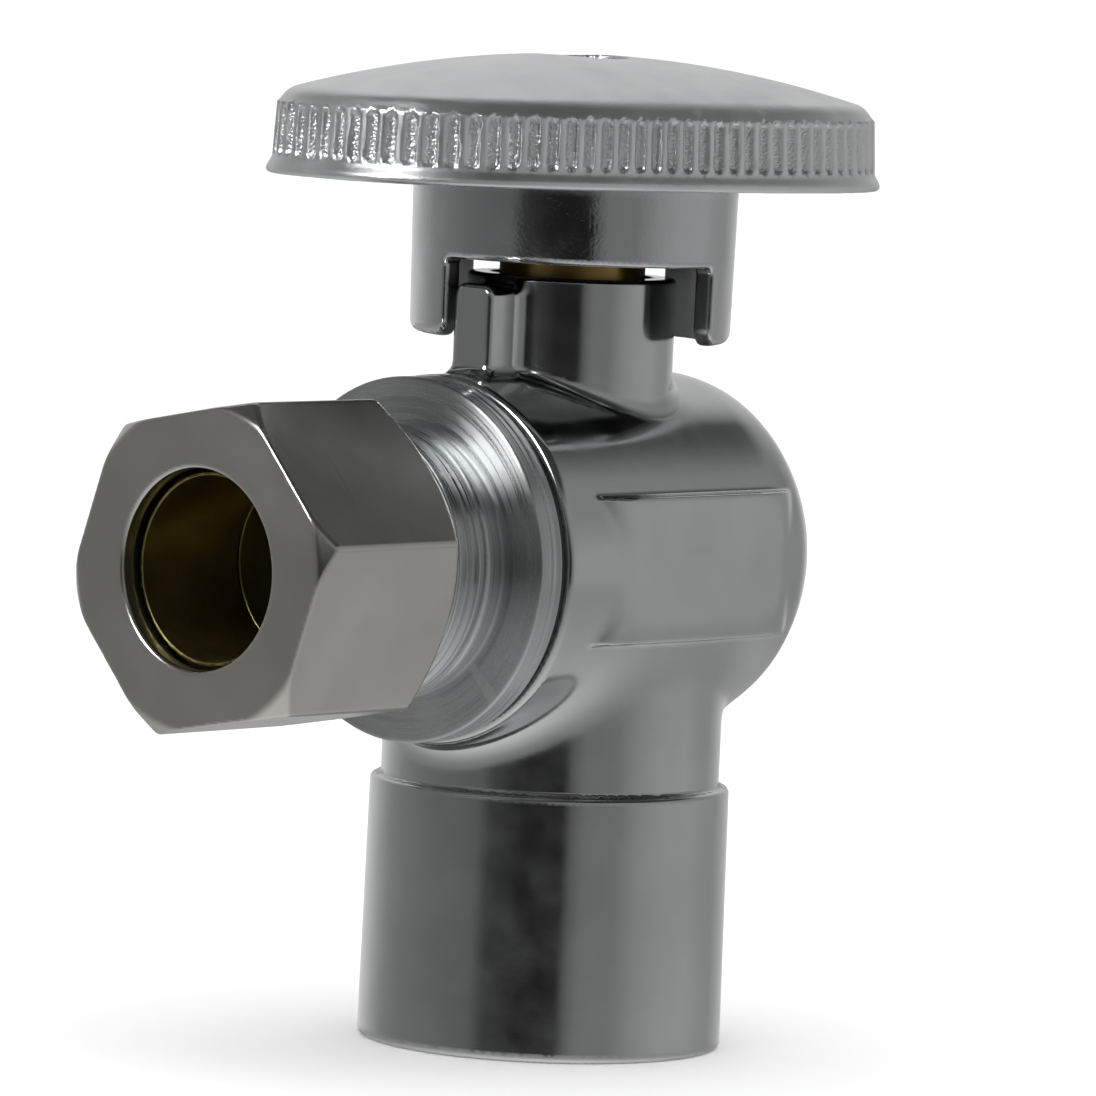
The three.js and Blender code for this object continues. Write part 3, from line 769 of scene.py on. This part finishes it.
def bump(tree, shader, layers):
    """Chains bump layers of (height, strength, distance in metres) into the shader's normal."""
    normal = None
    for height, strength, distance in layers:
        node = tree.nodes.new("ShaderNodeBump")
        node.inputs["Strength"].default_value = strength
        node.inputs["Distance"].default_value = distance
        tree.links.new(height, node.inputs["Height"])
        if normal is not None:
            tree.links.new(normal, node.inputs["Normal"])
        normal = node.outputs["Normal"]
    tree.links.new(normal, shader.inputs["Normal"])


def tint(tree, shader, value, dark, light):
    """Base colour between two colours by a value from 0 to 1."""
    ramp = tree.nodes.new("ShaderNodeMix")
    ramp.data_type = "RGBA"
    ramp.inputs["A"].default_value = (*dark, 1)
    ramp.inputs["B"].default_value = (*light, 1)
    tree.links.new(value, ramp.inputs["Factor"])
    tree.links.new(ramp.outputs["Result"], shader.inputs["Base Color"])


def worn_edges(tree, value, reach):
    """Adds to a value where the surface turns outwards sharply."""
    geometry = tree.nodes.new("ShaderNodeNewGeometry")
    edge = remap(tree, geometry.outputs["Pointiness"], 0.52, 0.60, 0, reach)
    return maths(tree, "ADD", value, edge)


def turning_marks(tree, scale):
    """Fine rings round the outlet axis, on its cylinders and its flat faces."""
    where = tree.nodes.new("ShaderNodeTexCoord")
    split = tree.nodes.new("ShaderNodeSeparateXYZ")
    tree.links.new(where.outputs["Object"], split.inputs["Vector"])
    x, y, z = split.outputs
    height = maths(tree, "SUBTRACT", z, OUTLET_Z * MM)
    squares = maths(tree, "ADD", maths(tree, "POWER", x, 2), maths(tree, "POWER", height, 2))
    radius = maths(tree, "SQRT", squares)
    ring = maths(tree, "ADD", radius, y)
    texture = tree.nodes.new("ShaderNodeTexNoise")
    texture.noise_dimensions = "1D"
    texture.inputs["Scale"].default_value = scale
    texture.inputs["Detail"].default_value = 3
    tree.links.new(ring, texture.inputs["W"])
    return texture.outputs["Fac"]


def metal(name, dark, light, rough, grain, wave, marks=None, stretch=(1, 1, 1)):
    """Plated or bare metal: cloudy colour and roughness, worn edges, fine grain and slow waves.
    rough is (least, most). grain, wave and marks are (features a metre, strength, metres deep)."""
    material, tree, shader = new_material(name, light, 1.0, rough[0])
    cloud = remap(tree, noise(tree, 130, 3), 0.3, 0.7, 0, 1)
    tint(tree, shader, worn_edges(tree, cloud, 0.6), dark, light)
    patches = remap(tree, noise(tree, 350, 4, stretch), 0.3, 0.7, *rough)
    tree.links.new(worn_edges(tree, patches, 0.08), shader.inputs["Roughness"])
    slow, fine = noise(tree, wave[0], 1), noise(tree, grain[0], 2, stretch)
    layers = [(slow, *wave[1:]), (fine, *grain[1:])]
    if marks:
        layers.append((turning_marks(tree, marks[0]), *marks[1:]))
    return material, tree, shader, layers


def brush_round(tree, shader, amount):
    """Stretches highlights across fine grooves that run round the outlet axis."""
    where = tree.nodes.new("ShaderNodeTexCoord")
    offset = tree.nodes.new("ShaderNodeVectorMath")
    offset.operation = "SUBTRACT"
    offset.inputs[1].default_value = (0, 0, OUTLET_Z * MM)
    tree.links.new(where.outputs["Object"], offset.inputs[0])
    groove = tree.nodes.new("ShaderNodeVectorMath")
    groove.operation = "CROSS_PRODUCT"
    groove.inputs[1].default_value = (0, 1, 0)
    tree.links.new(offset.outputs["Vector"], groove.inputs[0])
    direction = tree.nodes.new("ShaderNodeVectorMath")
    direction.operation = "NORMALIZE"
    tree.links.new(groove.outputs["Vector"], direction.inputs[0])
    tree.links.new(direction.outputs["Vector"], shader.inputs["Tangent"])
    shader.inputs["Anisotropic"].default_value = amount
    shader.inputs["Anisotropic Rotation"].default_value = 0.25


def finished_metal(*settings, brushed=0.0, **more):
    material, tree, shader, layers = metal(*settings, **more)
    bump(tree, shader, layers)
    if brushed:
        brush_round(tree, shader, brushed)
    return material


@functools.cache
def cast_chrome():
    return finished_metal("plated_casting", (0.545, 0.56, 0.56), (0.61, 0.625, 0.625), (0.09, 0.17),
                          (5200, 0.05, 0.00003), (220, 0.07, 0.0003))


@functools.cache
def turned_chrome():
    """Bright turning: the finish changes from ring to ring and highlights stretch across them."""
    material, tree, shader, layers = metal(
        "plated_turning", (0.50, 0.515, 0.52), (0.60, 0.615, 0.62), (0.3, 0.3),
        (3600, 0.05, 0.00003), (200, 0.06, 0.0002), marks=(4200, 0.25, 0.00003))
    rings = remap(tree, turning_marks(tree, 1700), 0.38, 0.62, 0.20, 0.44)
    tree.links.new(worn_edges(tree, rings, 0.08), shader.inputs["Roughness"])
    bump(tree, shader, layers)
    brush_round(tree, shader, 1.0)
    return material


@functools.cache
def satin_chrome():
    return finished_metal("satin_plating", (0.53, 0.525, 0.49), (0.60, 0.59, 0.555), (0.20, 0.26),
                          (5200, 0.10, 0.00003), (150, 0.04, 0.0002),
                          marks=(2600, 0.08, 0.00003), brushed=0.5)


SKIRT_SHINE = 0.27  # how much less rough the skirt is than the plate
# The second colour is painted shade: a dark grey for the hollow underside and the inside of the
# skirt.
SKIRT_COLOUR, PAINTED_SHADE_COLOUR = (0.58, 0.60, 0.605, 1), (0.20, 0.205, 0.205, 1)


@functools.cache
def handle_chrome():
    """Chrome over a die casting: coarse on the plate, with rough slots in its rim, smooth on the
    skirt, and painted dark grey inside the skirt and on the hollow underside: painted shade."""
    material, tree, shader, layers = metal(
        "plated_die_casting", (0.70, 0.72, 0.725), (0.78, 0.80, 0.805), (0.32, 0.44),
        (3800, 0.22, 0.00005), (260, 0.30, 0.0003))
    where = tree.nodes.new("ShaderNodeTexCoord")
    split = tree.nodes.new("ShaderNodeSeparateXYZ")
    tree.links.new(where.outputs["Object"], split.inputs["Vector"])
    # the mask where shade is painted dark; it also keeps those faces rough
    painted_shade = attribute(tree, PAINTED_SHADE)
    high_z, low_z = (RIM_BOTTOM + 0.3) * MM, (RIM_BOTTOM - 0.7) * MM
    low = remap(tree, split.outputs["Z"], high_z, low_z, 0, 1)
    smooth = maths(tree, "MULTIPLY", low, maths(tree, "SUBTRACT", 1, painted_shade))
    rough = shader.inputs["Roughness"].links[0].from_socket
    rough = maths(tree, "SUBTRACT", rough, maths(tree, "MULTIPLY", smooth, SKIRT_SHINE))
    tree.links.new(rough, shader.inputs["Roughness"])
    colour = shader.inputs["Base Color"].links[0].from_socket
    colour = blend(tree, smooth, colour, SKIRT_COLOUR)
    # Painted shade: the hollow underside and the inside of the skirt turn dark grey.
    tree.links.new(blend(tree, painted_shade, colour, PAINTED_SHADE_COLOUR), shader.inputs["Base Color"])
    coarse = maths(tree, "MULTIPLY", noise(tree, 5200, 1), attribute(tree, PRESSED))
    bump(tree, shader, [*layers, (coarse, 0.9, 0.00012)])
    return material


@functools.cache
def mirror_chrome():
    return finished_metal("mirror_plating", (0.62, 0.62, 0.62), (0.70, 0.70, 0.70), (0.04, 0.10),
                          (3000, 0.03, 0.00002), (150, 0.02, 0.0001))


# Brass darker than the stem's: partly its own tone, partly painted shade for the sleeve inside the
# nut and the adapter's bore.
@functools.cache
def dark_brass():
    return finished_metal("darkened_brass", (0.28, 0.24, 0.085), (0.42, 0.35, 0.135), (0.30, 0.42),
                          (2600, 0.15, 0.00004), (300, 0.1, 0.0002), marks=(2200, 0.1, 0.00003))


@functools.cache
def bright_brass():
    return finished_metal("turned_brass", (0.40, 0.27, 0.09), (0.58, 0.42, 0.17), (0.22, 0.36),
                          (2600, 0.2, 0.00004), (300, 0.1, 0.0002), stretch=(0.3, 0.3, 3.0))


@functools.cache
def zinc_steel():
    return finished_metal("zinc_plate", (0.42, 0.43, 0.44), (0.56, 0.57, 0.58), (0.22, 0.4),
                          (3000, 0.2, 0.00003), (400, 0.1, 0.0001))


def plain(name, dark, light, rough, grain):
    """Rubber or PTFE: a cloudy colour with a fine moulded grain."""
    material, tree, shader = new_material(name, light, 0.0, rough[0])
    tint(tree, shader, remap(tree, noise(tree, 300, 4), 0.3, 0.7, 0, 1), dark, light)
    tree.links.new(remap(tree, noise(tree, 900, 3), 0.3, 0.7, *rough), shader.inputs["Roughness"])
    bump(tree, shader, [(noise(tree, grain[0]), *grain[1:])])
    return material


@functools.cache
def nitrile():
    return plain("black_nitrile", (0.012, 0.012, 0.012), (0.03, 0.03, 0.03),
                 (0.45, 0.65), (4000, 0.2, 0.00002))


@functools.cache
def ptfe():
    return plain("white_ptfe", (0.78, 0.78, 0.75), (0.88, 0.88, 0.86),
                 (0.35, 0.5), (3000, 0.15, 0.00002))


def finish_piece(piece, body, slot, material, *nodes):
    """Gives a piece its material, ties it to its body and hides its CAD nodes. The slot is not
    used.
    """
    piece.data.materials.append(material)
    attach(piece, body)
    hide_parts(*nodes)
    return piece


# ---------------------------------------------------------------- studio and camera

CAMERA_AZIMUTH = math.radians(40.65)
CAMERA_DISTANCE, CAMERA_HEIGHT = 600, 83.5
AIM_SIDE, AIM_HEIGHT = -0.85, 35.26
CAMERA_ROLL = math.radians(2.56)
CAMERA_LENS = 276.8
SENSOR = 36
WHITE_ROOM = 1.3  # the plain room that lights the floor and stands behind the valve
FLOOR_HALF, FLOOR_DROP = 4000, 0.02
LAMP_PLACE, LAMP_SIZE, LAMP_POWER = (0.2, -0.3, 1.4), 1.2, 3


def camera():
    """A long lens at the height of the handle, turned a little about its own axis."""
    right = Vector((math.cos(CAMERA_AZIMUTH), math.sin(CAMERA_AZIMUTH), 0))
    away = Vector((math.sin(CAMERA_AZIMUTH), -math.cos(CAMERA_AZIMUTH), 0))
    place = (away * CAMERA_DISTANCE + Vector((0, 0, CAMERA_HEIGHT))) * MM
    aim = (right * AIM_SIDE + Vector((0, 0, AIM_HEIGHT))) * MM
    forward = (aim - place).normalized()
    level = forward.cross(Vector((0, 0, 1))).normalized()
    upright = level.cross(forward)
    side = level * math.cos(CAMERA_ROLL) + upright * math.sin(CAMERA_ROLL)
    up = upright * math.cos(CAMERA_ROLL) - level * math.sin(CAMERA_ROLL)
    data = bpy.data.cameras.new("camera")
    data.lens, data.sensor_width = CAMERA_LENS, SENSOR
    data.clip_start, data.clip_end = 0.01, 20
    eye = bpy.data.objects.new("camera", data)
    turn = Matrix((side, up, -forward)).transposed().to_4x4()
    eye.matrix_world = Matrix.Translation(place) @ turn
    bpy.context.scene.collection.objects.link(eye)
    bpy.context.scene.camera = eye


# Brightness of the room at eye level: (degrees round from the camera, towards its right, level)
EYE_LEVEL = [
    (-180, 0.70), (-163, 0.72), (-148, 0.62), (-134, 0.45), (-120, 0.31), (-104, 0.24), (-88, 0.20),
    (-72, 0.17), (-46, 0.14), (-37, 0.05), (-14, 0.015), (10, 0.012), (15, 0.13), (24, 0.22),
    (45, 0.23), (60, 0.33), (78, 0.41), (105, 0.43), (120, 0.37), (135, 0.35), (150, 0.47),
    (180, 0.70),
]
# The same a little higher up
UPPER_WALL = [
    (-180, 0.66), (-160, 0.60), (-140, 0.38), (-120, 0.26), (-90, 0.19), (-60, 0.18), (-35, 0.10),
    (-10, 0.11), (15, 0.24), (45, 0.30), (90, 0.32), (130, 0.28), (150, 0.42), (165, 0.64),
    (180, 0.66),
]
WALL_BLEND = (3 / 90, 17 / 90)  # from eye level to the upper wall, as shares of a right angle
# Ceiling and ground: (degrees of elevation or fall, level, share that replaces the walls)
CEILING = [(8, 0.1, 0.0), (30, 0.10, 0.0), (41, 0.04, 1.0), (90, 0.04, 1.0)]
GROUND = [
    (8, 0.34, 0.0), (11, 0.34, 0.60), (15, 0.35, 0.75),
    (35, 0.48, 1.0), (55, 0.65, 1.0), (80, 0.80, 1.0),
]
# Soft lamps in the reflections: (degrees from the camera to its right, elevation, radius, level)
SOFTBOXES = [(-48, 33, 12, 12.0), (-175, 47, 26, 0.62)]


def ramp(tree, value, stops):
    """A grey ramp from (position 0 to 1, brightness) stops."""
    node = tree.nodes.new("ShaderNodeValToRGB")
    elements = node.color_ramp.elements
    while len(elements) < len(stops):
        elements.new(0.5)
    for element, (position, level) in zip(elements, sorted(stops)):
        element.position = position
        element.color = (level, level, level, 1)
    tree.links.new(value, node.inputs["Fac"])
    return node.outputs["Color"]


def maths(tree, operation, *values):
    node = tree.nodes.new("ShaderNodeMath")
    node.operation = operation
    for socket, value in zip(node.inputs, values):
        if isinstance(value, (int, float)):
            socket.default_value = value
        else:
            tree.links.new(value, socket)
    return node.outputs["Value"]


def blend(tree, factor, a, b):
    node = tree.nodes.new("ShaderNodeMix")
    node.data_type = "RGBA"
    tree.links.new(factor, node.inputs["Factor"])
    for socket, value in (("A", a), ("B", b)):
        if isinstance(value, tuple):
            node.inputs[socket].default_value = value
        else:
            tree.links.new(value, node.inputs[socket])
    return node.outputs["Result"]


def mixed_over(tree, value, level, table):
    """Replaces the level by a table's own, over degrees of elevation or fall."""
    share = ramp(tree, value, [(angle / 90, mix) for angle, _, mix in table])
    own = ramp(tree, value, [(angle / 90, bright) for angle, bright, _ in table])
    return blend(tree, share, level, own)


def room():
    """A soft studio room that the chrome reflects. Everything else sees plain white."""
    world = bpy.data.worlds.new("room")
    bpy.context.scene.world = world
    world.use_nodes = True
    tree = world.node_tree
    where = tree.nodes.new("ShaderNodeTexCoord")
    split = tree.nodes.new("ShaderNodeSeparateXYZ")
    tree.links.new(where.outputs["Generated"], split.inputs["Vector"])
    x, y, z = split.outputs
    s, c = math.sin(CAMERA_AZIMUTH), math.cos(CAMERA_AZIMUTH)
    ahead = maths(tree, "SUBTRACT", maths(tree, "MULTIPLY", x, s), maths(tree, "MULTIPLY", y, c))
    aside = maths(tree, "ADD", maths(tree, "MULTIPLY", x, c), maths(tree, "MULTIPLY", y, s))
    turn = maths(tree, "MULTIPLY_ADD", maths(tree, "ARCTAN2", aside, ahead), 1 / (2 * math.pi), 0.5)
    rise = maths(tree, "MULTIPLY", maths(tree, "ARCSINE", z), 2 / math.pi)
    walls = [ramp(tree, turn, [((angle + 180) / 360, level) for angle, level in table])
             for table in (EYE_LEVEL, UPPER_WALL)]
    level = blend(tree, remap(tree, rise, *WALL_BLEND, 0, 1), *walls)
    level = mixed_over(tree, rise, level, CEILING)
    level = mixed_over(tree, maths(tree, "MULTIPLY", rise, -1), level, GROUND)
    for box in SOFTBOXES:
        level = softbox(tree, where, level, *box)
    path = tree.nodes.new("ShaderNodeLightPath")
    shown = blend(tree, path.outputs["Is Glossy Ray"], (WHITE_ROOM,) * 3 + (1,), level)
    tree.links.new(shown, tree.nodes["Background"].inputs["Color"])


def softbox(tree, where, level, side, elevation, radius, strength):
    """Adds a round soft lamp to the room."""
    azimuth = CAMERA_AZIMUTH - math.pi / 2 + math.radians(side)
    flat, up = math.cos(math.radians(elevation)), math.sin(math.radians(elevation))
    direction = (math.cos(azimuth) * flat, math.sin(azimuth) * flat, up)
    dot = tree.nodes.new("ShaderNodeVectorMath")
    dot.operation = "DOT_PRODUCT"
    dot.inputs[1].default_value = direction
    tree.links.new(where.outputs["Generated"], dot.inputs[0])
    edge = remap(tree, dot.outputs["Value"], math.cos(math.radians(radius * 1.3)),
                 math.cos(math.radians(radius * 0.8)), 0, 1)
    return blend(tree, edge, level, (strength, strength, strength, 1))


def lamp(name, place, size, power):
    """A big soft lamp for the floor and the matt pieces. The chrome doesn't reflect it."""
    data = bpy.data.lights.new(name, "AREA")
    data.shape, data.size, data.energy = "DISK", size, power
    light = bpy.data.objects.new(name, data)
    light.location = place
    light.rotation_euler = (-Vector(place)).to_track_quat("-Z", "Y").to_euler()
    light.visible_glossy = False
    bpy.context.scene.collection.objects.link(light)


def floor():
    """A wide pale floor. The valve stands on it."""
    height = BODY_LOW[2] - FLOOR_DROP
    corners = [(-1, -1), (1, -1), (1, 1), (-1, 1)]
    points = np.array([(FLOOR_HALF * x, FLOOR_HALF * y, height) for x, y in corners])
    piece = add_mesh("floor", points, np.array([[0, 1, 2, 3]]))
    material, tree, shader = new_material("pale_floor", (0.88, 0.88, 0.88), 0.0, 0.8)
    tint(tree, shader, noise(tree, 3, 2), (0.87, 0.87, 0.87), (0.9, 0.9, 0.9))
    piece.data.materials.append(material)
    piece.visible_glossy = False


def studio():
    bpy.context.scene.view_settings.view_transform = "Standard"
    room()
    floor()
    lamp("top_lamp", LAMP_PLACE, LAMP_SIZE, LAMP_POWER)
    camera()


# ---------------------------------------------------------------- the scene

studio()
valve_body()
outlet_adapter()
compression_nut()
compression_sleeve()
handle()
stem_and_screw()
seals()
